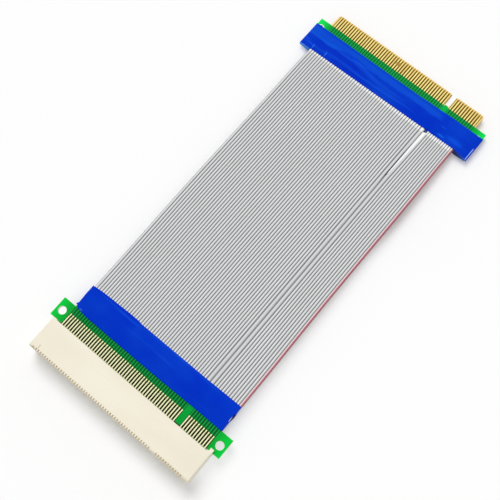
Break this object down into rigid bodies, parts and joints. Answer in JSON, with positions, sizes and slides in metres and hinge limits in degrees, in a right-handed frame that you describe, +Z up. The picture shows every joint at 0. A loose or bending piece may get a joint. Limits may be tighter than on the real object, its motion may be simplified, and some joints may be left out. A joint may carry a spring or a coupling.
{
  "type": "flexible riser card",
  "caption": "Flexible expansion-slot riser: a keyed edge-connector board and a slot connector on its own small board, joined by layered flat grey cable, with blue tape over the soldered ends.",
  "frame": {"origin": "middle of the bounding box's underside, on the table that the riser lies on", "axes": "+X along the contact rows towards the short run past the key, +Y from the slot's mouth to the plug's tip, +Z up out of the table"},
  "size_m": [0.092, 0.2012, 0.0094],
  "materials": {
    "green_laminate": "glossy solder mask",
    "gold_finger": "gold plate",
    "tinned_pad": "thin gold flash",
    "solder": "bright solder",
    "ivory_moulding": "fine matte moulding",
    "grey_cable": "satin insulation",
    "blue_tape": "glossy film"
  },
  "bodies": {
    "root": {"slot_board": "green_laminate", "plug_board": "green_laminate", "slot_lands_upper": "tinned_pad", "slot_lands_lower": "tinned_pad", "plug_lands_upper": "gold_finger", "plug_lands_lower": "gold_finger", "slot_housing": "ivory_moulding", "slot_contacts_upper": "gold_finger", "slot_contacts_lower": "gold_finger", "slot_joints_upper": "solder", "slot_joints_lower": "solder", "plug_joints_upper": "solder", "plug_joints_lower": "solder", "long_ribbon_upper": "grey_cable", "long_ribbon_lower": "grey_cable", "short_ribbon_upper": "grey_cable", "short_ribbon_lower": "grey_cable", "slot_wrap": "blue_tape", "plug_wrap": "blue_tape"}
  },
  "joints": []
}
